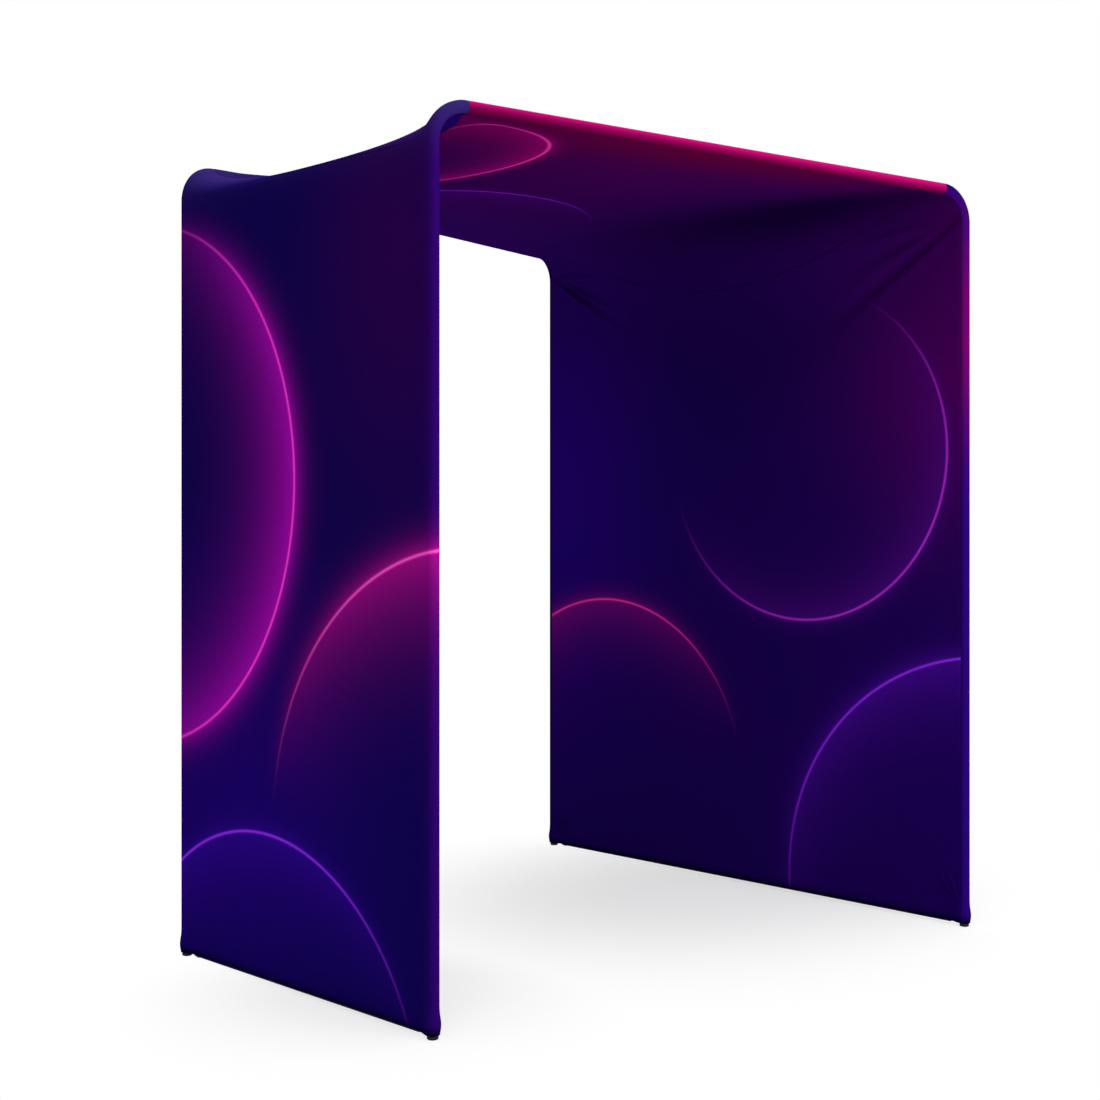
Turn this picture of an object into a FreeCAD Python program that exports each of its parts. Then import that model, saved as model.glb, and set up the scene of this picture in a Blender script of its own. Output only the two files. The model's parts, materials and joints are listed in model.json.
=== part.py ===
import FreeCAD, Part
import math
import os

from FreeCAD import Vector

# Free-standing walk-through arch: a stretch-knit cover pulled over two splayed tube hoops.
# Millimetres, +Z up, front at -Y, origin on the floor at the middle of the footprint.

# Driving dimensions of the dressed arch. The left leg is shallower than the right one.
overall_height = 2400.0
overall_width = 2000.0
left_depth = 1160.0
right_depth = 1900.0

# Hoop tubes: drawn aluminium, swaged down to a spigot at each plug-in end.
tube_diameter = 32.0
tube_wall = 1.5
bend_radius = 100.0
spigot_length = 60.0
spigot_clearance = 0.2
swage_length = 6.0
leg_joint_height = 1180.0
corner_run = 120.0

# Base elbows and rubber feet.
foot_height = 12.0
foot_radius = 15.0
foot_edge_radius = 3.0
foot_stem_radius = 6.0
foot_stem_length = 14.0
elbow_height = 72.0
elbow_reach = 40.0
elbow_edge_radius = 2.0
elbow_core_depth = 20.0
base_spigot_length = 50.0

# Blind rivets that fix the base tubes to the elbows.
rivet_radius = 2.4
rivet_head_radius = 4.5
rivet_head_height = 1.5
rivet_tail_radius = 3.5
rivet_tail_length = 2.0
rivet_tail_gap = 0.7

# Spreader bars and the welded stubs that carry them.
spreader_diameter = 22.0
stub_length = 40.0
stub_collar_radius = 12.0
stub_collar_length = 4.0
leg_spreader_height = 1500.0
top_spreader_offset = 200.0

# Snap buttons and the leaf springs under them.
button_radius = 4.0
button_proud = 4.5
button_dome = 2.5
button_clearance = 0.3
button_collar_radius = 5.5
button_collar_thickness = 1.2
spring_thickness = 0.6
spring_width = 8.0
spring_reach = 24.0
spring_gap = 0.1

# Cover: two plies of stretch knit with rounded edges round the tubes.
# Reach and radius are those of the slack middle between the hoops, on the tube's centre line.
# The ridge share flattens the left corner there: 1 is a true round, 0 a straight slope.
cloth_thickness = 0.6
cloth_clearance = 0.8
left_corner_reach = 800.0
left_ridge_share = 0.5
right_saddle_radius = 500.0
saddle_fullness = 1.25
saddle_shares = (-1.0, -0.98, -0.92, -0.8, -0.5, 0.0, 0.5, 0.8, 0.92, 0.98, 1.0)
wrap_gap = 4.0
hem_setback = 20.0

# Zip in each bottom hem: two tapes with toothed edges, and a slider without a pull.
zip_setback = 48.0
zip_slot_width = 9.0
zip_tape_thickness = 0.8
zip_tape_drop = 2.7
zip_slit_width = 1.2
zip_tooth_width = 2.0
zip_tooth_height = 2.0
slider_length = 16.0
slider_width = 10.0
slider_plate_thickness = 1.0
slider_clearance = 0.4
slider_post_width = 0.6
slider_post_length = 5.0
slider_lug_height = 1.2
slider_lug_width = 3.0
slider_edge_radius = 2.5
slider_edge_limit_share = 0.45

# Cuts run this far past the faces that they open.
overrun = 5.0

# Sizes that follow from the values above.
tube_radius = tube_diameter / 2
bore_radius = tube_radius - tube_wall
spigot_radius = bore_radius - spigot_clearance
spigot_bore_radius = spigot_radius - tube_wall
cloth_radius = tube_radius + cloth_clearance
cover_radius = cloth_radius + cloth_thickness
leg_x = overall_width / 2 - cover_radius
left_half = left_depth / 2 - cover_radius
right_half = right_depth / 2 - cover_radius
middle_half = (left_half + right_half) / 2
splay = math.atan((right_half - left_half) / (2 * leg_x))
hoop_half = leg_x / math.cos(splay)
hoop_height = overall_height - cover_radius
base_height = foot_height + tube_radius
leg_start = foot_height + elbow_height
corner_end = hoop_half - bend_radius - corner_run
seam_x = leg_x - bend_radius * math.cos(splay)
hem_radius = cloth_radius * math.cos(splay)
hem_thickness = cloth_thickness * math.cos(splay)
spreader_radius = spreader_diameter / 2
spreader_bore_radius = spreader_radius - tube_wall
button_hole_radius = button_radius + button_clearance
button_seat = math.sqrt(spigot_bore_radius**2 - button_collar_radius**2) - button_clearance

X_AXIS = Vector(1, 0, 0)
Y_AXIS = Vector(0, 1, 0)
Z_AXIS = Vector(0, 0, 1)
SIDES = {"left": -1, "right": 1}
ENDS = {"front": -1, "back": 1}
HALF_DEPTHS = {"left": left_half, "right": right_half}

os.makedirs("parts", exist_ok=True)


# Shared shapes and places.
def save(shape, node):
    shape.exportStep("parts/" + node + ".step")


def pipe(outer, inner, length, start, direction):
    return Part.makeCylinder(outer, length, start, direction).cut(
        Part.makeCylinder(inner, length, start, direction)
    )


def turned(edges):
    return Part.Face(Part.Wire(edges)).revolve(Vector(), Z_AXIS, 360)


def polygon_edges(points):
    return [Part.LineSegment(a, b).toShape() for a, b in zip(points, points[1:])]


def edge_at_height(shape, height):
    return min(shape.Edges, key=lambda edge: abs(edge.CenterOfMass.z - height))


def aim(shape, start, direction):
    placed = shape.copy()
    placed.Placement = FreeCAD.Placement(start, FreeCAD.Rotation(Z_AXIS, direction))
    return placed


def in_hoop_plane(shape, share):
    # Stands a shape that is drawn in the XZ plane in the upright plane at this share of the depth.
    placed = shape.copy()
    placed.rotate(Vector(), Z_AXIS, math.degrees(math.atan(share * math.tan(splay))))
    placed.translate(Vector(0, share * middle_half, 0))
    return placed


def half_depth_at(x):
    return middle_half + x * math.tan(splay)


# Hoop tubes.
def plug_tube(length):
    points = [
        Vector(bore_radius, 0, 0),
        Vector(tube_radius, 0, 0),
        Vector(tube_radius, 0, length),
        Vector(spigot_radius, 0, length),
        Vector(spigot_radius, 0, length + spigot_length),
        Vector(spigot_bore_radius, 0, length + spigot_length),
        Vector(spigot_bore_radius, 0, length),
        Vector(bore_radius, 0, length - swage_length),
    ]
    return turned(polygon_edges(points + points[:1]))


def lower_leg(side):
    return aim(plug_tube(leg_joint_height - leg_start), Vector(side * hoop_half, 0, leg_start), Z_AXIS)


def corner_tube(side):
    bend_start = Vector(side * hoop_half, 0, hoop_height - bend_radius)
    rise = bend_start.z - leg_joint_height
    leg = pipe(tube_radius, bore_radius, rise, bend_start - Z_AXIS * rise, Z_AXIS)
    disc = Part.Face(Part.Wire(Part.makeCircle(tube_radius, bend_start, Z_AXIS)))
    ring = disc.cut(Part.Face(Part.Wire(Part.makeCircle(bore_radius, bend_start, Z_AXIS))))
    bend_centre = bend_start - X_AXIS * side * bend_radius
    bend = ring.revolve(bend_centre, Y_AXIS * -side, 90)
    run = aim(plug_tube(corner_run), bend_centre + Z_AXIS * bend_radius, X_AXIS * -side)
    return leg.fuse([bend, run]).removeSplitter()


def top_left_tube():
    return aim(plug_tube(corner_end), Vector(-corner_end, 0, hoop_height), X_AXIS)


def top_right_tube():
    return pipe(tube_radius, bore_radius, corner_end, Vector(0, 0, hoop_height), X_AXIS)


# Plug-in joints of one hoop, in its own plane: shoulder of the spigot and the way it points.
PLUGS = {"centre": (Vector(0, 0, hoop_height), X_AXIS)}
for side_name, side in SIDES.items():
    PLUGS[side_name + "_base"] = (Vector(side * hoop_half, 0, leg_start), Z_AXIS)
    PLUGS[side_name + "_leg"] = (Vector(side * hoop_half, 0, leg_joint_height), Z_AXIS)
    PLUGS[side_name + "_top"] = (Vector(side * corner_end, 0, hoop_height), X_AXIS * -side)


def button_centre(plug):
    shoulder, direction = PLUGS[plug]
    return shoulder + direction * (spigot_length / 2)


def button_drills(end):
    reach = tube_radius + overrun
    holes = [Part.makeCylinder(button_hole_radius, reach, button_centre(p), Y_AXIS * -end) for p in PLUGS]
    return in_hoop_plane(Part.makeCompound(holes), end)


# Snap button: domed peg with a collar that stops against the inside of the spigot.
def snap_button():
    top = tube_radius + button_proud
    dome_radius = (button_radius**2 + button_dome**2) / (2 * button_dome)
    half_angle = math.asin(button_radius / dome_radius) / 2
    collar_bottom = button_seat - button_collar_thickness
    dome_foot = Vector(button_radius, 0, top - button_dome)
    dome_top = Vector(0, 0, top)
    dome_middle = dome_top - Z_AXIS * (dome_radius * (1 - math.cos(half_angle)))
    dome_middle += X_AXIS * (dome_radius * math.sin(half_angle))
    edges = polygon_edges([
        dome_top,
        Vector(0, 0, collar_bottom),
        Vector(button_collar_radius, 0, collar_bottom),
        Vector(button_collar_radius, 0, button_seat),
        Vector(button_radius, 0, button_seat),
        dome_foot,
    ])
    return turned(edges + [Part.Arc(dome_foot, dome_middle, dome_top).toShape()])


# Leaf spring: a V folded from strip, one arm under the button and one on the far wall.
def snap_spring():
    upper = button_seat - button_collar_thickness - spring_gap
    lower = -math.sqrt(spigot_bore_radius**2 - (spring_width / 2) ** 2)
    tail = button_collar_radius
    edge_y = -spring_width / 2
    outline = [
        Vector(-tail, edge_y, upper),
        Vector(tail, edge_y, upper),
        Vector(spring_reach, edge_y, spring_thickness),
        Vector(spring_reach, edge_y, -spring_thickness),
        Vector(tail, edge_y, lower),
        Vector(-tail, edge_y, lower),
        Vector(-tail, edge_y, lower + spring_thickness),
        Vector(tail, edge_y, lower + spring_thickness),
        Vector(spring_reach - 2 * spring_thickness, edge_y, 0),
        Vector(tail, edge_y, upper - spring_thickness),
        Vector(-tail, edge_y, upper - spring_thickness),
    ]
    return Part.Face(Part.Wire(polygon_edges(outline + outline[:1]))).extrude(Y_AXIS * spring_width)


def spring_at(plug, end):
    direction = PLUGS[plug][1]
    inward = Y_AXIS * -end
    placed = snap_spring()
    turn = FreeCAD.Rotation(direction, inward.cross(direction), inward, "XZY")
    placed.Placement = FreeCAD.Placement(button_centre(plug), turn)
    return in_hoop_plane(placed, end)


# Welded stub for a spreader bar: a collared rod that points to the opposite hoop.
# It is welded on from outside, so the tube's bore stays open.
def stubbed(tube, x, end, height, tube_direction):
    axis_point = Vector(x, end * half_depth_at(x), height)
    inward = Y_AXIS * -end
    rod_radius = spreader_bore_radius - spigot_clearance
    rod = Part.makeCylinder(rod_radius, tube_radius + stub_length, axis_point, inward)
    collar = Part.makeCylinder(stub_collar_radius, tube_radius + stub_collar_length, axis_point, inward)
    bore_half = stub_collar_radius + tube_diameter
    bore_start = axis_point - tube_direction * bore_half
    bore = Part.makeCylinder(bore_radius, 2 * bore_half, bore_start, tube_direction)
    return tube.fuse(rod.fuse(collar).cut(bore)).removeSplitter()


for end_name, end in ENDS.items():
    drills = button_drills(end)
    hoop_direction = Vector(math.cos(splay), end * math.sin(splay), 0)
    for side_name, side in SIDES.items():
        leg = in_hoop_plane(lower_leg(side), end).cut(drills)
        save(leg, end_name + "_" + side_name + "_lower_leg")
        corner = in_hoop_plane(corner_tube(side), end).cut(drills)
        corner = stubbed(corner, side * leg_x, end, leg_spreader_height, Z_AXIS)
        save(corner, end_name + "_" + side_name + "_corner_tube")
    top_left = in_hoop_plane(top_left_tube(), end).cut(drills)
    top_left = stubbed(top_left, -top_spreader_offset, end, hoop_height, hoop_direction)
    save(top_left, end_name + "_top_left_tube")
    save(in_hoop_plane(top_right_tube(), end).cut(drills), end_name + "_top_right_tube")
    for plug in PLUGS:
        button = aim(snap_button(), button_centre(plug), Y_AXIS * -end)
        save(in_hoop_plane(button, end), end_name + "_" + plug + "_button")

springs = [spring_at(plug, end) for end in ENDS.values() for plug in PLUGS]
save(Part.makeCompound(springs), "snap_springs")


# Spreader bars, pushed over the stubs up to their collars.
def spreader(x, height):
    half_length = half_depth_at(x) - tube_radius - stub_collar_length
    start = Vector(x, -half_length, height)
    return pipe(spreader_radius, spreader_bore_radius, 2 * half_length, start, Y_AXIS)


save(spreader(-leg_x, leg_spreader_height), "left_spreader")
save(spreader(leg_x, leg_spreader_height), "right_spreader")
save(spreader(-top_spreader_offset, hoop_height), "top_spreader")


# Base elbows: a post under each leg with a side spigot for the base tube.
def rivet_place(side_name, end):
    y = HALF_DEPTHS[side_name] - elbow_reach - base_spigot_length / 2
    return Vector(SIDES[side_name] * leg_x, end * y, base_height)


def rivet_hole(side_name, end):
    return Part.makeCylinder(rivet_radius, tube_radius, rivet_place(side_name, end), Z_AXIS)


def base_elbow(side_name, end):
    inward = Y_AXIS * -end
    floor_point = Vector(SIDES[side_name] * leg_x, end * HALF_DEPTHS[side_name], 0)
    post_foot = floor_point + Z_AXIS * foot_height
    base_axis = floor_point + Z_AXIS * base_height
    outlet_end = base_axis + inward * elbow_reach
    post_top = floor_point + Z_AXIS * leg_start
    core_start = post_top - Z_AXIS * elbow_core_depth
    post = Part.makeCylinder(tube_radius, elbow_height, post_foot, Z_AXIS)
    post = post.makeFillet(elbow_edge_radius, [edge_at_height(post, post_foot.z)])
    outlet = Part.makeCylinder(tube_radius, elbow_reach, base_axis, inward)
    leg_spigot = Part.makeCylinder(spigot_radius, spigot_length, post_top, Z_AXIS)
    base_spigot = Part.makeCylinder(spigot_radius, base_spigot_length, outlet_end, inward)
    leg_core = Part.makeCylinder(spigot_bore_radius, elbow_core_depth + spigot_length, core_start, Z_AXIS)
    base_core = Part.makeCylinder(spigot_bore_radius, base_spigot_length, outlet_end, inward)
    stem_hole = Part.makeCylinder(foot_stem_radius, foot_stem_length, post_foot, Z_AXIS)
    body = post.fuse([outlet, leg_spigot, base_spigot]).removeSplitter()
    return body.cut([leg_core, base_core, stem_hole, rivet_hole(side_name, end), button_drills(end)])


def rubber_foot(side_name, end):
    floor_point = Vector(SIDES[side_name] * leg_x, end * HALF_DEPTHS[side_name], 0)
    pad = Part.makeCylinder(foot_radius, foot_height, floor_point, Z_AXIS)
    pad = pad.makeFillet(foot_edge_radius, [edge_at_height(pad, 0)])
    stem = Part.makeCylinder(foot_stem_radius, foot_stem_length, floor_point + Z_AXIS * foot_height, Z_AXIS)
    return pad.fuse(stem).removeSplitter()


def base_rivet(side_name, end):
    place = rivet_place(side_name, end)
    tail_start = spigot_bore_radius - rivet_tail_length - rivet_tail_gap
    shank = Part.makeCylinder(rivet_radius, tube_radius - tail_start, place + Z_AXIS * tail_start, Z_AXIS)
    tail = Part.makeCylinder(rivet_tail_radius, rivet_tail_length, place + Z_AXIS * tail_start, Z_AXIS)
    head = Part.makeCylinder(rivet_head_radius, rivet_head_height, place + Z_AXIS * tube_radius, Z_AXIS)
    head_top = place.z + tube_radius + rivet_head_height
    head = head.makeFillet(rivet_head_height / 2, [edge_at_height(head, head_top)])
    return shank.fuse([tail, head]).removeSplitter()


def base_tube(side_name):
    half_length = HALF_DEPTHS[side_name] - elbow_reach
    start = Vector(SIDES[side_name] * leg_x, -half_length, base_height)
    tube = pipe(tube_radius, bore_radius, 2 * half_length, start, Y_AXIS)
    return tube.cut([rivet_hole(side_name, end) for end in ENDS.values()])


rivets = []
for side_name in SIDES:
    save(base_tube(side_name), side_name + "_base_tube")
    for end_name, end in ENDS.items():
        save(base_elbow(side_name, end), end_name + "_" + side_name + "_base_elbow")
        save(rubber_foot(side_name, end), end_name + "_" + side_name + "_foot")
        rivets.append(base_rivet(side_name, end))
save(Part.makeCompound(rivets), "base_rivets")


# Cover: each ply is lofted through arch-shaped bands that stand at shares of the depth.
# The left corner keeps a straight ridge where the bends start, and slopes in over the roof.
# The right corner rounds off evenly. At the hoops both are as tight as the tubes.
def eased(at_hoops, halfway, share):
    return at_hoops + (halfway - at_hoops) * (1 - share**2) ** saddle_fullness


def corner_curve(start, corner, end, roundness_share):
    curve = Part.BezierCurve()
    curve.setPoles([start, corner, end])
    curve.setWeight(2, roundness_share * math.cos(math.radians(45)))
    return curve.toShape()


def arch_edges(share, offset, z_low):
    # One arch in the XZ plane, this far outside the tubes' centre line, from left to right.
    half_width = (leg_x + offset * math.cos(splay)) / math.cos(math.atan(share * math.tan(splay)))
    top = hoop_height + offset
    reach = eased(bend_radius, left_corner_reach, share) + offset
    radius = eased(bend_radius, right_saddle_radius, share) + offset
    left_foot = Vector(-half_width, 0, top - bend_radius - offset)
    left_head = Vector(-half_width + reach, 0, top)
    right_head = Vector(half_width - radius, 0, top)
    right_foot = Vector(half_width, 0, top - radius)
    left_corner = Vector(-half_width, 0, top)
    right_corner = Vector(half_width, 0, top)
    return [
        Part.LineSegment(Vector(-half_width, 0, z_low), left_foot).toShape(),
        corner_curve(left_foot, left_corner, left_head, eased(1, left_ridge_share, share)),
        Part.LineSegment(left_head, right_head).toShape(),
        corner_curve(right_head, right_corner, right_foot, 1),
        Part.LineSegment(right_foot, Vector(half_width, 0, z_low)).toShape(),
    ]


def ply(inner_offset, outer_offset):
    bands = []
    for share in saddle_shares:
        outer = arch_edges(share, outer_offset, base_height)
        inner = arch_edges(share, inner_offset, base_height)
        left_rim = [inner[0].Vertexes[0].Point, outer[0].Vertexes[0].Point]
        right_rim = [outer[-1].Vertexes[-1].Point, inner[-1].Vertexes[-1].Point]
        edges = outer + polygon_edges(right_rim) + inner[::-1] + polygon_edges(left_rim)
        bands.append(in_hoop_plane(Part.Wire(edges), share))
    return Part.makeLoft(bands, True, False)


# Rounded edge of the cover: a half-round strip that follows a whole hoop on its outer side.
def edge_wrap(end):
    hoop_edges = arch_edges(1, 0, foot_height + wrap_gap)
    path = Part.Wire(hoop_edges)
    start = hoop_edges[0].Vertexes[0].Point
    outward = Y_AXIS * end
    rim = [start + X_AXIS * -cover_radius, start + outward * cover_radius, start + X_AXIS * cover_radius]
    lining = [start + X_AXIS * cloth_radius, start + outward * cloth_radius, start + X_AXIS * -cloth_radius]
    profile = Part.Wire([
        Part.Arc(*rim).toShape(),
        Part.LineSegment(rim[2], lining[0]).toShape(),
        Part.Arc(*lining).toShape(),
        Part.LineSegment(lining[2], rim[0]).toShape(),
    ])
    return in_hoop_plane(path.makePipeShell([profile], True, False), end)


# Bottom hem of a leg: the ply turned in under the base tube, with a slot for the zip.
def hem(side_name, outer_ply):
    side = SIDES[side_name]
    half_length = HALF_DEPTHS[side_name] - hem_setback
    start = Vector(side * leg_x, -half_length, base_height)
    ring = pipe(hem_radius + hem_thickness, hem_radius, 2 * half_length, start, Y_AXIS)
    span = hem_radius + hem_thickness + overrun
    out_sign = side if outer_ply else -side
    corner = start + X_AXIS * (out_sign * zip_slot_width / 2) - Z_AXIS * span
    if out_sign < 0:
        corner -= X_AXIS * span
    quarter = Part.makeBox(span, 2 * half_length, span, corner)
    return ring.common(quarter)


def cut_panels(cover_ply):
    low = Vector(-overall_width, -right_depth, -overall_height)
    size = Vector(overall_width - seam_x, 2 * right_depth, 3 * overall_height)
    left_box = Part.makeBox(size.x, size.y, size.z, low)
    top_box = Part.makeBox(2 * seam_x, size.y, size.z, Vector(-seam_x, low.y, low.z))
    right_box = Part.makeBox(size.x, size.y, size.z, Vector(seam_x, low.y, low.z))
    return {
        "left": cover_ply.common(left_box),
        "top": cover_ply.common(top_box),
        "right": cover_ply.common(right_box),
    }


outer_ply = ply(cloth_radius, cover_radius).fuse(
    [edge_wrap(end) for end in ENDS.values()] + [hem(side_name, True) for side_name in SIDES]
)
inner_ply = ply(-cover_radius, -cloth_radius).fuse([hem(side_name, False) for side_name in SIDES])
for layer, cover_ply in (("outer", outer_ply), ("inner", inner_ply)):
    for panel_name, panel in cut_panels(cover_ply).items():
        save(panel, panel_name + "_" + layer + "_panel")


# Zip chain: two tapes whose turned-up edges meet the hems, each with a row of teeth.
hem_edge_z = base_height - math.sqrt((hem_radius + hem_thickness) ** 2 - (zip_slot_width / 2) ** 2)
tape_bottom = hem_edge_z - zip_tape_drop - zip_tape_thickness
tooth_bottom = tape_bottom + zip_tape_thickness / 2 - zip_tooth_height / 2


def zip_half(half_length, x_sign):
    teeth_x = zip_slit_width / 2
    rim_x = zip_slot_width / 2
    tape_x = teeth_x + zip_tooth_width / 2
    blocks = [
        (teeth_x, teeth_x + zip_tooth_width, tooth_bottom, tooth_bottom + zip_tooth_height),
        (tape_x, rim_x + zip_tape_thickness, tape_bottom, tape_bottom + zip_tape_thickness),
        (rim_x, rim_x + zip_tape_thickness, tape_bottom, hem_edge_z),
    ]
    solids = []
    for near, far, bottom, top in blocks:
        corner = Vector(near if x_sign > 0 else -far, -half_length, bottom)
        solids.append(Part.makeBox(far - near, 2 * half_length, top - bottom, corner))
    return solids[0].fuse(solids[1:]).removeSplitter()


def rounded_plate(width, length, thickness, bottom):
    plate = Part.makeBox(width, length, thickness, Vector(-width / 2, -length / 2, bottom))
    upright = [edge for edge in plate.Edges if edge.tangentAt(edge.FirstParameter).isEqual(Z_AXIS, 0.5)]
    return plate.makeFillet(min(slider_edge_radius, width * slider_edge_limit_share), upright)


def zip_slider():
    tooth_top = tooth_bottom + zip_tooth_height
    upper_bottom = tooth_top + slider_clearance
    lower_bottom = tooth_bottom - slider_clearance - slider_plate_thickness
    upper_width = zip_slot_width - 2 * slider_clearance
    upper = rounded_plate(upper_width, slider_length, slider_plate_thickness, upper_bottom)
    lower = rounded_plate(slider_width, slider_length, slider_plate_thickness, lower_bottom)
    post_corner = Vector(-slider_post_width / 2, -slider_post_length / 2, lower_bottom)
    post = Part.makeBox(slider_post_width, slider_post_length, upper_bottom - lower_bottom, post_corner)
    lug_bottom = lower_bottom - slider_lug_height
    lug = rounded_plate(slider_lug_width, slider_length / 2, slider_lug_height, lug_bottom)
    return upper.fuse([lower, post, lug]).removeSplitter()


for side_name, side in SIDES.items():
    half_length = HALF_DEPTHS[side_name] - zip_setback
    halves = [zip_half(half_length, sign) for sign in (-1, 1)]
    chain = Part.makeCompound(halves)
    chain.translate(X_AXIS * side * leg_x)
    save(chain, side_name + "_zip_chain")
    slider = zip_slider()
    slider.translate(Vector(side * leg_x, half_length - slider_length, 0))
    save(slider, side_name + "_zip_slider")
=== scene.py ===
import json
import math

import bmesh
import bpy
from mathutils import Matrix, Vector


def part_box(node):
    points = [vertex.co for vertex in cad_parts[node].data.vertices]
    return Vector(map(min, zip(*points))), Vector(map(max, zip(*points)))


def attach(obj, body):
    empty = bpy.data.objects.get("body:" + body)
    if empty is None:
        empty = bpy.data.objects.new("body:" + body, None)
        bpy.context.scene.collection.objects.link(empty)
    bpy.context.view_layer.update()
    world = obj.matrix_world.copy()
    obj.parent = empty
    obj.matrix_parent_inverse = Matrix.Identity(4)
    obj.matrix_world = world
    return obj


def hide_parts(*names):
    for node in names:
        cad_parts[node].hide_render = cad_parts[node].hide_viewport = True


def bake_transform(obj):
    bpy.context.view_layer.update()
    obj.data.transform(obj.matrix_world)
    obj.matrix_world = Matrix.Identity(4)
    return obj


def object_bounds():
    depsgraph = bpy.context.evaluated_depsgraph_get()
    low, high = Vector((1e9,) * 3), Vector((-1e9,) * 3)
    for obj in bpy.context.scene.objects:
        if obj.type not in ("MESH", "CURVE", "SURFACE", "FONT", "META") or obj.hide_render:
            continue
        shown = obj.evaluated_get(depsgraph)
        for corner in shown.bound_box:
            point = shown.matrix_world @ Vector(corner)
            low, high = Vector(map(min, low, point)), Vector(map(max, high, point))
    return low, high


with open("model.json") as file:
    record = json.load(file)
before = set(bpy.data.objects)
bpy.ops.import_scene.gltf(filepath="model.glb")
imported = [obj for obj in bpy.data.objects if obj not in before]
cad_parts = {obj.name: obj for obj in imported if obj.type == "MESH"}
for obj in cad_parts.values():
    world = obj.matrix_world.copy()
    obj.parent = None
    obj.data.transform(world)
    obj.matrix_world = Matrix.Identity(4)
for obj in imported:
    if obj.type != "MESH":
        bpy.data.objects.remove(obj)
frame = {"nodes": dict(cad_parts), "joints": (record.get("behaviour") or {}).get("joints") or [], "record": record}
cad_low, cad_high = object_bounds()


# Hoop tubes, base tubes and spreader bars.
# Drawn aluminium tube, swaged at the plug-in ends, satin anodised. The tubes plug together
# inside the cover and carry it.
def linear(hex_colour):
    # An sRGB hex colour as the linear values that shaders take.
    channels = [int(hex_colour[i:i + 2], 16) / 255 for i in (1, 3, 5)]
    return [c / 12.92 if c <= 0.04045 else ((c + 0.055) / 1.055) ** 2.4 for c in channels] + [1]


def add(tree, kind, settings, inputs):
    # One shader node: settings are its attributes, inputs are values or other nodes' sockets.
    node = tree.nodes.new("ShaderNode" + kind)
    for name, value in settings.items():
        setattr(node, name, value)
    for key, value in inputs.items():
        if isinstance(value, bpy.types.NodeSocket):
            tree.links.new(value, node.inputs[key])
        else:
            node.inputs[key].default_value = value
    return node


def new_material(name, **constants):
    # A material with its main shader, whose constant sockets are set by name.
    material = bpy.data.materials.new(name)
    material.use_nodes = True
    shader = material.node_tree.nodes["Principled BSDF"]
    for socket, value in constants.items():
        shader.inputs[socket.replace("_", " ")].default_value = value
    return material, material.node_tree, shader


def dress(material, nodes):
    # Gives CAD nodes this material alone.
    for name in nodes:
        slots = frame["nodes"][name].data.materials
        slots.clear()
        slots.append(material)


def speckle(tree, size, detail, stretch=(1, 1, 1)):
    # Noise on the piece's own coordinates, with blotches of about this size in metres.
    place = add(tree, "TexCoord", {}, {})
    scaled = add(tree, "Mapping", {}, {"Vector": place.outputs["Object"], "Scale": stretch})
    return add(tree, "TexNoise", {}, {
        "Vector": scaled.outputs["Vector"], "Scale": 1 / size, "Detail": detail,
    }).outputs["Fac"]


def spread(tree, pattern, low, high):
    # Maps a 0 to 1 pattern to a range of values.
    return add(tree, "MapRange", {}, {"Value": pattern, "To Min": low, "To Max": high}).outputs["Result"]


def tint(tree, share, first, second, blend="MIX"):
    # Blends two colours by a pattern.
    return add(tree, "Mix", {"data_type": "RGBA", "blend_type": blend}, {
        "Factor": share, "A": first, "B": second,
    }).outputs["Result"]


def mottle(tree, shader, pattern, dark, light):
    # Base colour that wanders between two hex colours.
    tree.links.new(tint(tree, pattern, linear(dark), linear(light)), shader.inputs["Base Color"])


def polish(tree, shader, pattern, low, high):
    # Roughness that wanders between two values.
    tree.links.new(spread(tree, pattern, low, high), shader.inputs["Roughness"])


def grain(tree, shader, pattern, depth, strength):
    # Surface relief of this depth in metres.
    bump = add(tree, "Bump", {}, {"Height": pattern, "Distance": depth, "Strength": strength})
    tree.links.new(bump.outputs["Normal"], shader.inputs["Normal"])


# Satin anodised aluminium: a soft grey sheen with faint draw lines along the tube.
anodised, tree, shader = new_material("satin_anodised_aluminium", Metallic=1.0)
draw_lines = speckle(tree, size=0.0012, detail=2.0, stretch=(1, 1, 0.02))
mottle(tree, shader, speckle(tree, size=0.030, detail=3.0), "#b9bcc2", "#d2d4d8")
polish(tree, shader, draw_lines, low=0.28, high=0.46)
grain(tree, shader, draw_lines, depth=0.00005, strength=0.3)

sides = ("left", "right")
ends = ("front", "back")
tube_nodes = [side + "_base_tube" for side in sides]
tube_nodes += [bar + "_spreader" for bar in ("left", "right", "top")]
for end in ends:
    tube_nodes += [end + "_top_left_tube", end + "_top_right_tube"]
    for side in sides:
        tube_nodes += [f"{end}_{side}_lower_leg", f"{end}_{side}_corner_tube"]
dress(anodised, tube_nodes)

# Base elbows.
# Glass-filled nylon mouldings under each leg, with a spigot up into the leg and one into the
# base tube. Nearly black, with a dull skin that is finely pitted.
moulded, tree, shader = new_material("moulded_nylon", Specular_IOR_Level=0.4)
pits = speckle(tree, size=0.0008, detail=2.0)
mottle(tree, shader, speckle(tree, size=0.02, detail=2.0), "#17181a", "#222326")
polish(tree, shader, pits, low=0.48, high=0.66)
grain(tree, shader, pits, depth=0.0001, strength=0.4)
dress(moulded, [f"{end}_{side}_base_elbow" for end in ends for side in sides])

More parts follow.
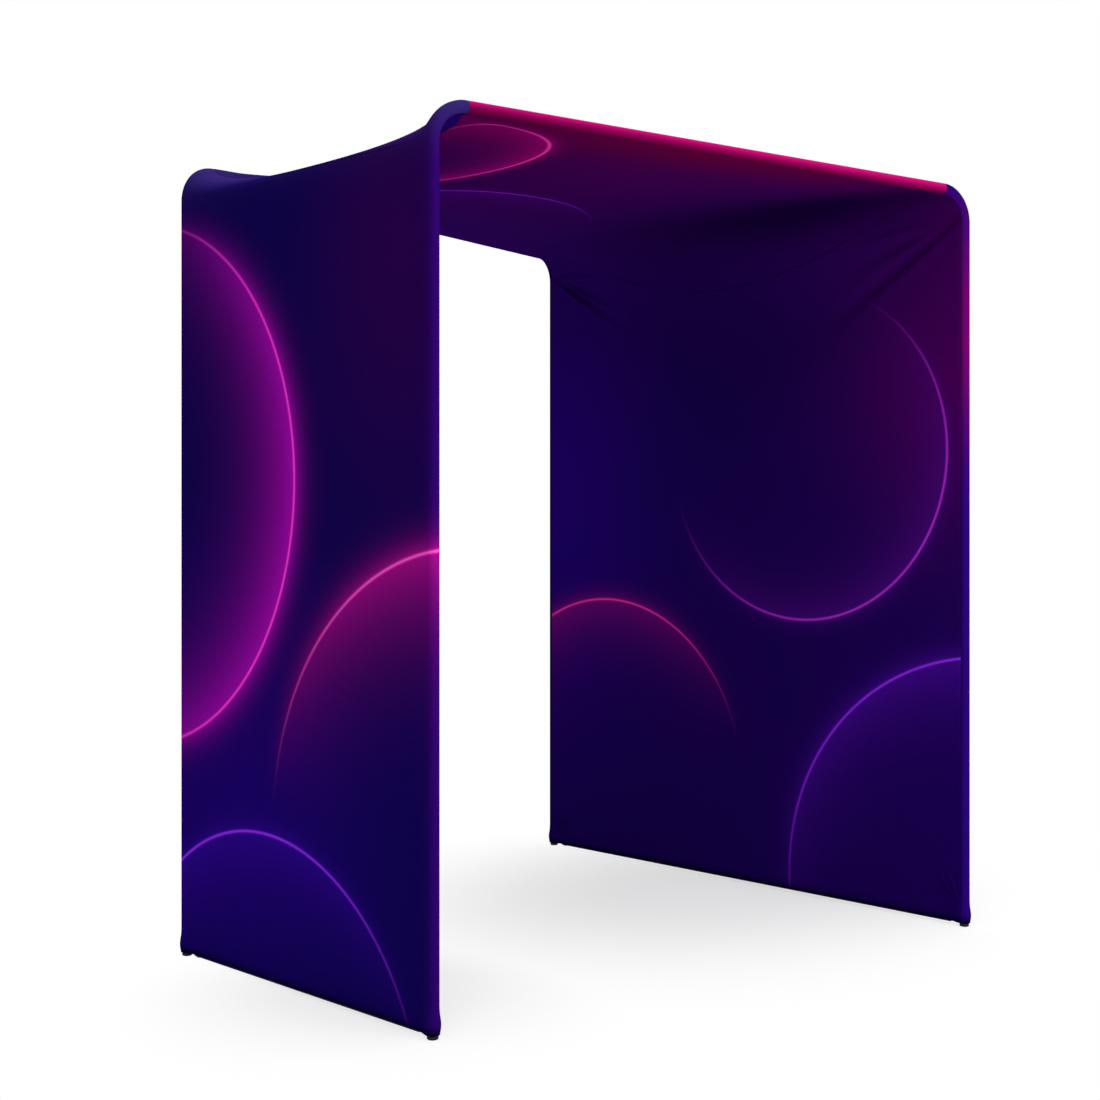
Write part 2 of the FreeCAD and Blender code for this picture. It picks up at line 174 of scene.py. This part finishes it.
# Rubber feet.
# Black rubber pads pushed into the elbows by a stem. They are all that touches the floor. Matt,
# with a faint grey bloom and a fine grain.
rubber, tree, shader = new_material("moulded_rubber", Specular_IOR_Level=0.25)
bloom = speckle(tree, size=0.006, detail=4.0)
mottle(tree, shader, bloom, "#050506", "#0e0e0f")
polish(tree, shader, bloom, low=0.70, high=0.90)
grain(tree, shader, speckle(tree, size=0.001, detail=2.0), depth=0.0001, strength=0.4)
dress(rubber, [f"{end}_{side}_foot" for end in ends for side in sides])

# Base rivets.
# Plain aluminium blind rivets through the base tubes into the elbows. Pale metal, dulled here
# and there by scuffs.
rivet_metal, tree, shader = new_material("plain_aluminium", Metallic=1.0)
scuffs = speckle(tree, size=0.002, detail=3.0)
mottle(tree, shader, scuffs, "#a9abae", "#c9cacc")
polish(tree, shader, scuffs, low=0.30, high=0.50)
dress(rivet_metal, ["base_rivets"])

# Snap buttons and their leaf springs.
# Steel pegs that click into the holes of the plug-in joints, on folded spring strip. One arm of
# each spring lies on the tube's far wall, and the other carries its button.

# Zinc plate: bright grey with a faint warm cast and uneven gloss.
plated, tree, shader = new_material("zinc_plated_steel", Metallic=1.0)
spangle = speckle(tree, size=0.003, detail=3.0)
mottle(tree, shader, spangle, "#9fa1a0", "#c2c1bb")
polish(tree, shader, spangle, low=0.22, high=0.42)
plugs = ["centre"] + [f"{side}_{joint}" for side in sides for joint in ("base", "leg", "top")]
dress(plated, [f"{end}_{plug}_button" for end in ends for plug in plugs])


def new_piece(name, form, material):
    # Turns a finished bmesh into an object of the scene.
    mesh = bpy.data.meshes.new(name)
    form.to_mesh(mesh)
    form.free()
    mesh.materials.append(material)
    piece = bpy.data.objects.new(name, mesh)
    bpy.context.scene.collection.objects.link(piece)
    return piece


# No face of a spring is farther than this from the middle of its button.
spring_span = 0.045
for joint in frame["joints"]:
    if joint["name"].endswith("_press"):
        plug = joint["name"].removesuffix("_press")
        button_low, button_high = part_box(plug + "_button")
        button_centre = (button_low + button_high) / 2
        strip = bmesh.new()
        strip.from_mesh(frame["nodes"]["snap_springs"].data)
        others = [f for f in strip.faces if (f.calc_center_median() - button_centre).length > spring_span]
        bmesh.ops.delete(strip, geom=others, context="FACES")
        spring = new_piece(plug + "_spring", strip, plated)
        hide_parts("snap_springs")
        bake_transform(spring)

# Cover.
# Two plies of stretch polyester knit, cut as six panels a little under size, printed by dye
# transfer and sewn into a sleeve that is pulled over the hoops and zipped at the floor.
cover_radius = 0.0174
cloth_thickness = 0.0006
bend_radius = 0.100
crowding_share = 0.75
wrap_steps = 14

# The left corner keeps a ridge along the leg, and the right one is a slack round saddle.
left_corner_reach = 0.800
left_ridge_share = 0.5
left_fullness = 0.8
tube_turn = 0.035
right_saddle_radius = 0.500
right_fullness = 1.25

# Hems, seams and the swell over the elbows.
base_height = 0.028
zip_slot_width = 0.009
hem_corner = 0.050
seam_depth = 0.0009
seam_width = 0.004
swell_depth = 0.0045
swell_height = 0.036
swell_reach = 0.024

# Creases fade out near edges and seams, start narrow, and differ in length and depth.
edge_margin = 0.012
seam_margin = 0.060
neck_share = 0.6
least_length = 0.6
least_depth = 0.5
uneven_pace = 2.4
uneven_start = 0.7

feet = {mount["name"]: Vector(mount["pos_m"]) for mount in frame["record"]["mounts"]}
leg_x = feet["front_right_rest"].x
half_depths = {"left": feet["back_left_rest"].y, "right": feet["back_right_rest"].y}
middle_half = sum(half_depths.values()) / 2
splay_slope = (half_depths["right"] - half_depths["left"]) / (2 * leg_x)
splay = math.atan(splay_slope)
hoop_height = cad_high.z - cover_radius
seam_x = leg_x - bend_radius * math.cos(splay)
hem_radius = cover_radius * math.cos(splay)
way = {"left": -1, "right": 1}


def corner_form(side, share, offset):
    # Reach along the roof, rise on the leg and weight of the corner's conic at this share of depth.
    round_weight = math.cos(math.radians(45))
    if side == "right":
        slack = (1 - share**2) ** right_fullness
        radius = bend_radius + (right_saddle_radius - bend_radius) * slack + offset
        return radius, radius, round_weight
    # The left cover turns round the tube and then falls away at once.
    turned = min(1, (1 - abs(share)) * half_depths["left"] / tube_turn)
    slack = turned**2 * (3 - 2 * turned) * (1 - share**2) ** left_fullness
    reach = bend_radius + (left_corner_reach - bend_radius) * slack + offset
    return reach, bend_radius + offset, round_weight * (1 + (left_ridge_share - 1) * slack)


def corner_step(form, inset):
    # The conic's parameter where it lies this far in from the leg.
    reach, _, weight = form
    slack = 2 * (1 - weight) * inset
    square = reach - slack
    return (math.sqrt(slack**2 + 4 * square * inset) - slack) / (2 * square)


def corner_place(form, step):
    # How far in from the leg, and how far under the roof, the conic lies at this parameter.
    reach, rise, weight = form
    total = (1 - step) ** 2 + 2 * weight * step * (1 - step) + step**2
    return step**2 * reach / total, (1 - step) ** 2 * rise / total


def plane_turn(share):
    # Turn of the upright plane at this share of the depth. The hoops stand at -1 and 1.
    return math.atan(share * splay_slope)


def half_width(share, offset):
    # From the middle of that plane to its leg line, moved out by this offset.
    return (leg_x + offset * math.cos(splay)) / math.cos(plane_turn(share))


def stand(across, share, height):
    # A point of that plane.
    turn = plane_turn(share)
    return Vector((across * math.cos(turn), across * math.sin(turn) + share * middle_half, height))


def leg_point(side, share, offset, row):
    # A point of a leg panel: row is ("hem", 0..1), ("leg", 0..1) or ("corner", 0..1).
    zone, along = row
    form = corner_form(side, share, offset)
    top = hoop_height + offset
    wide = half_width(share, offset)
    if zone == "leg":
        rise_start = top - form[1]
        return stand(way[side] * wide, share, base_height + (rise_start - base_height) * along)
    if zone == "corner":
        seam_inset = wide - seam_x / math.cos(plane_turn(share))
        inset, drop = corner_place(form, along * corner_step(form, seam_inset))
        return stand(way[side] * (wide - inset), share, top - drop)
    # The hem turns under the base tube as far as the zip, and hangs straight at the legs.
    curl = min(1, (1 - abs(share)) * half_depths[side] / hem_corner)
    turn = math.acos(zip_slot_width / 2 / hem_radius) * (1 - along)
    reach = hem_radius * (1 - curl * (1 - math.cos(turn)))
    low = base_height - hem_radius * math.sin(turn)
    return stand(way[side] * (half_width(share, 0) + math.copysign(reach, offset)), share, low)


def roof_point(share, offset, x):
    # A point of the roof above or below this x.
    across = x / math.cos(plane_turn(share))
    top = hoop_height + offset
    wide = half_width(share, offset)
    for side in sides:
        inset = wide - way[side] * across
        form = corner_form(side, share, offset)
        if inset < form[0]:
            return stand(across, share, top - corner_place(form, corner_step(form, inset))[1])
    return stand(across, share, top)


def spaced(count):
    # Shares from 0 to 1 that crowd towards both ends.
    steps = [i / count for i in range(count + 1)]
    return [s - crowding_share * math.sin(2 * math.pi * s) / (2 * math.pi) for s in steps]


def depth_columns(count, wrapped):
    # Columns across a panel: share of the depth, and turn round the tube at the panel's edges.
    seam_share = 1 - seam_width / middle_half
    inner = [(2 * s - 1) * seam_share for s in spaced(count)]
    flat = [(share, 0) for share in [-1] + inner + [1]]
    if not wrapped:
        return flat
    turns = [math.pi * step / wrap_steps for step in range(1, wrap_steps + 1)]
    return [(-1, turn) for turn in reversed(turns)] + flat + [(1, turn) for turn in turns]


def ply_point(point_at, column, ply_way):
    # A point of a ply and its place across the cut cloth. The outer ply lies outside the tubes and
    # turns round them at its edges, and the inner ply lies inside them.
    share, turn = column
    face = point_at(share, ply_way * cover_radius)
    if not turn:
        return face, face.y
    centre = (face + point_at(share, -ply_way * cover_radius)) / 2
    hoop_turn = plane_turn(share)
    edge_way = Vector((-math.sin(hoop_turn), math.cos(hoop_turn), 0)) * share
    point = centre + (face - centre) * math.cos(turn) + edge_way * (cover_radius * math.sin(turn))
    return point, face.y + share * cover_radius * turn


def fan(start, aim, opening, count, length, width, depth):
    # Creases that fan out from a pulled corner: start, direction, length, width and depth. Aim and
    # opening are in degrees, and no two neighbours are equally long or deep.
    creases = []
    for i in range(count):
        angle = math.radians(aim + opening * (i / (count - 1) - 0.5))
        uneven = math.sin(uneven_pace * i + uneven_start) ** 2
        creases.append((
            start, (math.cos(angle), math.sin(angle)),
            length * (least_length + (1 - least_length) * uneven), width,
            depth * (least_depth + (1 - least_depth) * uneven),
        ))
    return creases


def foot_swell(height, from_edge):
    # The cloth swells a little where it is stretched over the moulded elbows.
    above = (height - swell_height) / swell_reach
    return swell_depth * math.exp(-above**2 - (from_edge / swell_reach) ** 2)


def crease_height(creases, u, v):
    # Each crease is a groove between two low ridges, or with a depth below zero a ridge between two
    # grooves. It widens on its way and has its full depth a third of the way along.
    total = 0
    for (u0, v0), (du, dv), length, width, depth in creases:
        along = ((u - u0) * du + (v - v0) * dv) / length
        if 0 < along < 1:
            across = ((u - u0) * dv - (v - v0) * du) / (width * (neck_share + along))
            rise_and_fade = 27 / 4 * along * (1 - along) ** 2
            total += depth * rise_and_fade * (2 * across**2 - 1) * math.exp(-across**2)
    return total


def sew_panel(name, columns, rows, place, creases, outward, seamed, origin, start, material):
    # One panel on a grid, laid on its form, with creases and a groove at its sewn edges. Its map is
    # the cut cloth in metres: across, and along, where the origin row lies at start.
    cloth = bmesh.new()
    bmesh.ops.create_grid(cloth, x_segments=len(columns) - 1, y_segments=len(rows) - 1, size=1)
    at = {}
    across = {}
    for vert in cloth.verts:
        i = round((vert.co.x + 1) / 2 * (len(columns) - 1))
        j = round((vert.co.y + 1) / 2 * (len(rows) - 1))
        at[i, j] = vert
        vert.co, across[vert] = place(columns[i], rows[j])
    along = {}
    for (i, j), vert in sorted(at.items()):
        before = at.get((i, j - 1))
        along[vert] = along[before] + (vert.co - before.co).length if before else 0
    shift = {i: start(column) - along[at[i, origin]] for i, column in enumerate(columns)}
    along = {vert: along[vert] + shift[i] for (i, j), vert in at.items()}
    cloth.normal_update()
    if at[len(columns) // 2, len(rows) // 2].normal.dot(outward) < 0:
        bmesh.ops.reverse_faces(cloth, faces=cloth.faces)
        cloth.normal_update()
    cut_map = cloth.loops.layers.uv.new("cut")
    for face in cloth.faces:
        for loop in face.loops:
            loop[cut_map].uv = across[loop.vert], along[loop.vert]
    lifts = {}
    for (i, j), vert in at.items():
        share, turn = columns[i]
        from_edge = (1 - abs(share)) * abs(across[vert])
        from_seam = along[at[i, len(rows) - 1]] - along[vert]
        free_share = min(1, from_edge / edge_margin, from_seam / seam_margin)
        lifts[vert] = crease_height(creases, across[vert], along[vert]) * free_share
        lifts[vert] += foot_swell(vert.co.z, from_edge)
        if j in seamed or (abs(share) == 1 and turn in (0, math.pi)):
            lifts[vert] -= seam_depth
    for vert, lift in lifts.items():
        vert.co += vert.normal * lift
    piece = new_piece(name, cloth, material)
    piece.data.shade_smooth()
    wall = piece.modifiers.new("cloth_thickness", "SOLIDIFY")
    wall.thickness = cloth_thickness
    wall.offset = -1
    return piece


# Knit print: navy ground with pools of colour, and large printed discs with lit rims. Some pools,
# and the dark band along the hem, are painted highlight and shade.
# Dyed polyester knit is matt, with a faint violet sheen along its turns. Its loops are drawn at
# 3 mm, coarser than real ones, so that they can show.
wale_spacing = 0.003
slubs_per_metre = (220.0, 60.0, 1.0)
blotches_per_metre = 1.3
rim_width = 0.004
inner_glow_share = 0.16
outer_glow_share = 0.035
cloud_colour = "#1a0258"
slub_colour = "#8a8aa0"
sheen_colour = "#5a2ad8"
past_edges = 9.0
# Painted shade: a dark band where the hem turns under the base tube and just above it.
painted_hem_shade = ((0.0, -0.020), (past_edges, 0.022), "#05010f")


def calc(tree, operation, *values):
    # One step of arithmetic on numbers.
    return add(tree, "Math", {"operation": operation}, dict(enumerate(values))).outputs[0]


def measure(tree, operation, *vectors):
    # A length, a distance or a dot product.
    return add(tree, "VectorMath", {"operation": operation}, dict(enumerate(vectors))).outputs["Value"]


def bell(tree, square):
    # Fades softly from 1 as the square of a distance grows.
    return calc(tree, "EXPONENT", calc(tree, "MULTIPLY", square, -1.0))


def ease(tree, value, start, end, low, high):
    # Goes softly from low to high while the value goes from start to end.
    return add(tree, "MapRange", {"interpolation_type": "SMOOTHSTEP"}, {
        "Value": value, "From Min": start, "From Max": end, "To Min": low, "To Max": high,
    }).outputs["Result"]


def disc_print(tree, cut_place, ground, centre, radius, lit, fade, rim_colour, glow_colour, strength):
    # One disc: a thin lit rim, a wide glow inside it and a narrow one outside, brightest towards lit.
    arm = add(tree, "VectorMath", {"operation": "SUBTRACT"}, {0: cut_place, 1: (*centre, 0)}).outputs[0]
    gap = calc(tree, "SUBTRACT", measure(tree, "LENGTH", arm), radius)
    angle = math.radians(lit)
    facing = measure(tree, "DOT_PRODUCT", arm, (math.cos(angle) / radius, math.sin(angle) / radius, 0))
    lit_share = ease(tree, facing, start=-fade, end=1.0, low=0.0, high=strength)
    inward = calc(tree, "DIVIDE", gap, radius * inner_glow_share)
    outward = calc(tree, "DIVIDE", gap, -radius * outer_glow_share)
    glow = calc(tree, "EXPONENT", calc(tree, "MINIMUM", inward, outward))
    ground = tint(tree, calc(tree, "MULTIPLY", glow, lit_share), ground, linear(glow_colour))
    thin = calc(tree, "DIVIDE", gap, rim_width)
    line = bell(tree, calc(tree, "MULTIPLY", thin, thin))
    return tint(tree, calc(tree, "MULTIPLY", line, lit_share), ground, linear(rim_colour))


def print_and_painted_light_pool(tree, cut_place, ground, centre, size, colour, lean=0):
    # A soft pool of colour, wide and high in metres, leaning by this angle. Most pools are print;
    # some are painted highlight and some painted shade.
    shrunk = add(tree, "Mapping", {"vector_type": "TEXTURE"}, {
        "Vector": cut_place, "Location": (*centre, 0), "Rotation": (0, 0, lean), "Scale": (*size, 1),
    }).outputs["Vector"]
    return tint(tree, bell(tree, measure(tree, "DOT_PRODUCT", shrunk, shrunk)), ground, linear(colour))


def printed_knit(name, ground_colour, pools, discs):
    # The colour is laid on in turn: clouded ground, pools of print and of painted highlight and shade,
    # discs, and a painted shade along the hem. Slubs in the yarn dull it, and the loops give it relief.
    material, tree, shader = new_material(
        name, Roughness=0.7, Specular_IOR_Level=0.0, Sheen_Weight=0.03, Sheen_Roughness=0.4,
        Sheen_Tint=linear(sheen_colour),
    )
    cut_place = add(tree, "TexCoord", {}, {}).outputs["UV"]
    blotches = add(tree, "TexNoise", {}, {
        "Vector": cut_place, "Scale": blotches_per_metre, "Detail": 1.0,
    }).outputs["Fac"]
    clouds = spread(tree, blotches, low=0.0, high=0.3)
    colour = tint(tree, clouds, linear(ground_colour), linear(cloud_colour))
    for pool in pools:
        colour = print_and_painted_light_pool(tree, cut_place, colour, *pool)
    for disc in discs:
        colour = disc_print(tree, cut_place, colour, *disc)
    colour = print_and_painted_light_pool(tree, cut_place, colour, *painted_hem_shade)
    yarn = add(tree, "Mapping", {}, {"Vector": cut_place, "Scale": slubs_per_metre}).outputs["Vector"]
    slubs = add(tree, "TexNoise", {}, {"Vector": yarn, "Scale": 1.0, "Detail": 2.0}).outputs["Fac"]
    wear = spread(tree, slubs, low=0.0, high=0.22)
    worn = tint(tree, wear, colour, linear(slub_colour), blend="MULTIPLY")
    tree.links.new(worn, shader.inputs["Base Color"])
    # At scale 1 the bands of a wave texture are 2 pi / 20 apart.
    waves = {"Vector": cut_place, "Scale": 2 * math.pi / 20 / wale_spacing}
    wales = add(tree, "TexWave", {"bands_direction": "X"}, waves).outputs["Fac"]
    courses = add(tree, "TexWave", {"bands_direction": "Y"}, waves).outputs["Fac"]
    grain(tree, shader, calc(tree, "MULTIPLY", wales, courses), depth=0.0003, strength=0.6)
    return material


# Leg panels.
# Each leg has an outer panel that turns round both tubes and an inner panel that closes it. The
# right inner panel's print runs on over the ceiling.
hem_steps = 8
wall_steps = 180
corner_steps = 36
hem_rows = [("hem", step / hem_steps) for step in range(hem_steps)]
wall_rows = [("leg", share) for share in spaced(wall_steps)[:-1]]
wall_rows += [("corner", step / corner_steps) for step in range(corner_steps + 1)]
leg_columns = {"left": 110, "right": 150}
bend_start = hoop_height - bend_radius - base_height
ply_ways = {"outer": 1, "inner": -1}
foot_crease_start = 0.030
foot_crease_aim = 38
foot_creases = {"opening": 56, "count": 5, "length": 0.17, "width": 0.007}
foot_crease_depths = {"outer": -0.002, "inner": -0.007}
bend_crease_start = bend_start + 0.02
bend_crease_aim = 16
bend_creases = {
    -1: {"opening": 30, "count": 3, "length": 0.95, "width": 0.030, "depth": 0.012},
    1: {"opening": 30, "count": 4, "length": 0.50, "width": 0.016, "depth": 0.015},
}
ridge_crease_start = bend_start + 0.004
ridge_crease_width = 0.007
ridge_crease_depth = 0.004

# Pools give centre, size, colour and lean. Discs give centre, radius, lit side in degrees, fade,
# colours of rim and glow, and strength.
inner_print = printed_knit(
    "printed_knit_inner", "#1a024e",
    [((-0.95, 1.75), (0.42, 0.45), "#420050"), ((0.85, 1.5), (0.45, 0.9), "#220274"),
     ((0.0, 3.2), (2.0, 0.75), "#3a0150"), ((-0.85, 3.9), (0.50, 1.1), "#50003c"),
     ((0.70, 3.6), (0.40, 1.3), "#300660"), ((-0.74, 3.35), (0.15, 0.75), "#5e0134", -splay),
     # Painted shade: the next pool darkens the bend between the right wall and the ceiling, towards the front.
     ((-0.45, 2.42), (0.60, 0.16), "#12002e")],
    [((-0.30, 1.52), 0.58, 230, 0.5, "#c030e0", "#4a0a78", 0.7),
     ((0.62, 0.32), 0.66, 60, 0.3, "#ff35a8", "#7a0a70", 0.8),
     ((-1.05, 0.05), 0.80, 80, 0.3, "#982af0", "#420a8c", 0.8),
     ((-0.10, 3.95), 0.46, 250, 0.5, "#ff3cb0", "#a00570", 0.9),
     ((0.55, 3.05), 0.50, 120, 0.4, "#a42ae0", "#4a0880", 0.8)],
)
leg_prints = {
    ("left", "outer"): printed_knit(
        "printed_knit_left_outer", "#0a0548",
        [((-0.45, 2.0), (0.35, 0.6), "#260246"), ((0.3, 0.4), (0.6, 0.6), "#1c0368"),
         # Painted highlight: the next two pools lighten the front tube's wrap and the top of the left corner.
         ((-0.60, 1.2), (0.035, past_edges), "#2c0462"), ((0.0, 2.39), (past_edges, 0.10), "#2e2060")],
        [((0.80, 1.40), 0.80, 195, 0.35, "#ff3cd0", "#a00aa8", 0.95),
         ((-0.70, 0.42), 0.80, 110, 0.30, "#ff4fc4", "#a00d84", 0.95),
         ((0.15, -0.30), 0.70, 60, 0.4, "#a030ff", "#300890", 0.8)],
    ),
    ("right", "inner"): inner_print,
    ("left", "inner"): printed_knit(
        "printed_knit_left_inner", "#1a024e",
        [((0.2, 1.6), (0.4, 0.7), "#34034a"), ((-0.2, 0.5), (0.5, 0.6), "#1f0370")],
        [((0.55, 1.35), 0.62, 180, 0.4, "#c030e0", "#4a0a78", 0.7),
         ((-0.45, 0.40), 0.60, 70, 0.3, "#ff35a8", "#7a0a70", 0.8)],
    ),
    ("right", "outer"): printed_knit(
        "printed_knit_right_outer", "#0a0548",
        [((0.6, 1.9), (0.6, 0.6), "#30034a"), ((-0.4, 0.6), (0.8, 0.7), "#1c0368"),
         # Painted highlight: the first pool on the next line lightens the front tube's wrap; the second is print.
         ((-0.97, 1.2), (0.035, past_edges), "#240466"), ((-0.97, 1.90), (0.035, 0.32), "#64035e")],
        [((-0.20, 1.60), 0.62, 340, 0.35, "#ff3cd0", "#a00aa8", 0.95),
         ((0.75, 0.55), 0.80, 200, 0.3, "#ff4fc4", "#a00d84", 0.95),
         ((-0.10, -0.35), 0.75, 80, 0.4, "#a030ff", "#3d09a8", 0.8)],
    ),
}

for side in sides:
    half = half_depths[side]
    for layer, ply_way in ply_ways.items():
        creases = []
        for edge in (-1, 1):
            inward = 180 if edge > 0 else 0
            creases += fan(
                (edge * half, foot_crease_start), inward - edge * foot_crease_aim, **foot_creases,
                depth=foot_crease_depths[layer],
            )
            if layer == "inner":
                bend_corner = (edge * half, bend_crease_start)
                creases += fan(bend_corner, inward + edge * bend_crease_aim, **bend_creases[edge])
        if (side, layer) == ("left", "outer"):
            ridge_end = (-half, ridge_crease_start)
            creases.append((ridge_end, (1, 0), 2 * half, ridge_crease_width, ridge_crease_depth))
        columns = depth_columns(leg_columns[side], layer == "outer")
        rows = hem_rows + wall_rows

        def place(column, row):
            return ply_point(lambda share, offset: leg_point(side, share, offset, row), column, ply_way)

        outward = Vector((way[side] * ply_way, 0, 0))
        seamed = [len(rows) - 1] if layer == "outer" else []
        panel = sew_panel(
            f"{side}_{layer}_cloth", columns, rows, place, creases, outward, seamed, hem_steps,
            lambda column: 0, leg_prints[side, layer],
        )
        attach(panel, "arch")
        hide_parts(f"{side}_{layer}_panel")

# Roof panels.
# The roof has an outer panel that turns round the top tubes and an inner panel, the ceiling.
# Both are widest at the right seam.
roof_steps = 150
roof_rows = [seam_x * (1 - 2 * share) for share in spaced(roof_steps)]
roof_prints = {
    "outer": printed_knit(
        "printed_knit_roof_outer", "#0b0546",
        # Painted highlight: the second pool on the next line lightens the roof's top over the left corner.
        [((0.3, 3.2), (0.6, 0.7), "#2a0360"), ((0.0, 4.3), (past_edges, 0.25), "#2a1c58"),
         ((-0.95, 3.0), (0.33, 1.6), "#a80a5c"),
         # Painted highlight and shade over the printed pink band: the next two pools make the front tube's wrap
         # brighter pink in a narrow band on its front and dark wine under it.
         ((-0.790, 3.285), (0.030, past_edges), "#500230", -splay),
         ((-0.768, 3.285), (0.014, past_edges), "#b00864", -splay)],
        [((0.4, 3.3), 0.55, 150, 0.4, "#f032c8", "#8a0a98", 0.8)],
    ),
    "inner": inner_print,
}
for layer, ply_way in ply_ways.items():
    columns = depth_columns(leg_columns["right"], layer == "outer")

    def place(column, x):
        return ply_point(lambda share, offset: roof_point(share, offset, x), column, ply_way)

    def start(column):
        # Length up the right leg panel to the seam, so that the print runs on from there.
        offset = ply_way * cover_radius * math.cos(column[1])
        points = [leg_point("right", column[0], offset, row) for row in wall_rows]
        return sum((after - before).length for before, after in zip(points, points[1:]))

    seamed = [0, len(roof_rows) - 1] if layer == "outer" else []
    outward = Vector((0, 0, ply_way))
    panel = sew_panel(
        f"roof_{layer}_cloth", columns, roof_rows, place, [], outward, seamed, 0, start, roof_prints[layer],
    )
    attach(panel, "arch")
    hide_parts(f"top_{layer}_panel")

# Zip chains and sliders.
# Coil zips along the two hems, each with a slider that runs the length of its chain.

# Woven polyester tape: dark and matt, with a fine weave.
tape, tree, shader = new_material("zip_tape_polyester", Roughness=0.7, Specular_IOR_Level=0.2)
mottle(tree, shader, speckle(tree, size=0.0015, detail=2.0), "#0c0a1c", "#1a1630")
grain(tree, shader, speckle(tree, size=0.0008, detail=1.0), depth=0.0002, strength=0.5)
dress(tape, [side + "_zip_chain" for side in sides])

# Black enamel: a thin gloss that is worn unevenly.
enamel, tree, shader = new_material("black_enamel", Coat_Weight=0.3)
chips = speckle(tree, size=0.004, detail=4.0)
mottle(tree, shader, chips, "#0e0e10", "#1c1c1f")
polish(tree, shader, chips, low=0.25, high=0.45)
dress(enamel, [side + "_zip_slider" for side in sides])

# Studio.
# Plain white floor that keeps the arch's soft shadow, soft light from above, white behind. The
# shadow shows only in painted shadow patches near the legs, where less flat white is mixed in and
# the floor's lit grey, with its real shadow, shows.
# Painted floor shadows give centre, inner and outer radius, and the share of white left in the middle.
floor_half = 14.0
painted_floor_shadows = [((0.70, -0.10, 0), 0.2, 1.5, 0.50), ((-0.85, -0.20, 0), 0.15, 0.80, 0.68)]
sky_level = 0.52


def seen_share(tree):
    # 1 where the camera sees a surface, straight or mirrored or through glass, and else 0.
    rays = add(tree, "LightPath", {}, {}).outputs
    straight_or_mirrored = calc(tree, "MAXIMUM", rays["Is Camera Ray"], rays["Is Glossy Ray"])
    return calc(tree, "MAXIMUM", straight_or_mirrored, rays["Is Transmission Ray"])


floor_mesh = bmesh.new()
bmesh.ops.create_grid(floor_mesh, x_segments=1, y_segments=1, size=floor_half)
floor_paint = bpy.data.materials.new("white_floor")
floor_paint.use_nodes = True
tree = floor_paint.node_tree
tree.nodes.clear()
floor_place = add(tree, "TexCoord", {}, {}).outputs["Object"]
white_share = seen_share(tree)
for centre, inner, outer, least in painted_floor_shadows:
    away = measure(tree, "DISTANCE", floor_place, centre)
    patch = ease(tree, away, start=inner, end=outer, low=least, high=1.0)
    white_share = calc(tree, "MINIMUM", white_share, patch)
matt = add(tree, "BsdfDiffuse", {}, {"Color": linear("#f4f4f4")}).outputs["BSDF"]
white = add(tree, "Emission", {}, {"Color": linear("#ffffff"), "Strength": 1.0}).outputs["Emission"]
blend = add(tree, "MixShader", {}, {0: white_share, 1: matt, 2: white}).outputs["Shader"]
add(tree, "OutputMaterial", {}, {"Surface": blend})
new_piece("studio_floor", floor_mesh, floor_paint)

# The sky shows as full white and lights the arch at a lower level.
world = bpy.data.worlds.new("studio")
world.use_nodes = True
tree = world.node_tree
tree.nodes.clear()
level = spread(tree, seen_share(tree), low=sky_level, high=1.0)
sky = add(tree, "Background", {}, {"Color": linear("#ffffff"), "Strength": level}).outputs["Background"]
add(tree, "OutputWorld", {}, {"Surface": sky})
bpy.context.scene.world = world


def soft_lamp(name, place, target, size, power):
    # A square lamp that faces its target.
    data = bpy.data.lights.new(name, "AREA")
    data.size = size
    data.energy = power
    lamp = bpy.data.objects.new(name, data)
    lamp.location = place
    lamp.rotation_euler = (Vector(target) - Vector(place)).to_track_quat("-Z", "Y").to_euler()
    bpy.context.scene.collection.objects.link(lamp)


soft_lamp("key", place=(-4.5, -3.5, 4.6), target=(0, 0, 1.2), size=3.0, power=110)
soft_lamp("top", place=(0.5, -0.5, 5.5), target=(0, 0, 0), size=4.0, power=200)
soft_lamp("fill", place=(0.5, -5.5, 1.6), target=(0.6, 0, 1.4), size=2.5, power=150)

# A level camera at the photo's place, shifted instead of tilted so that uprights stay upright.
camera_data = bpy.data.cameras.new("photo_view")
camera_data.sensor_width = 36.0
camera_data.lens = 52.78
camera_data.shift_y = -0.0277
camera = bpy.data.objects.new("photo_view", camera_data)
camera.location = (-3.6915, -3.6515, 1.3200)
camera.rotation_euler = (math.radians(90), 0, math.radians(-45.41))
bpy.context.scene.collection.objects.link(camera)
bpy.context.scene.camera = camera
bpy.context.scene.view_settings.view_transform = "Standard"
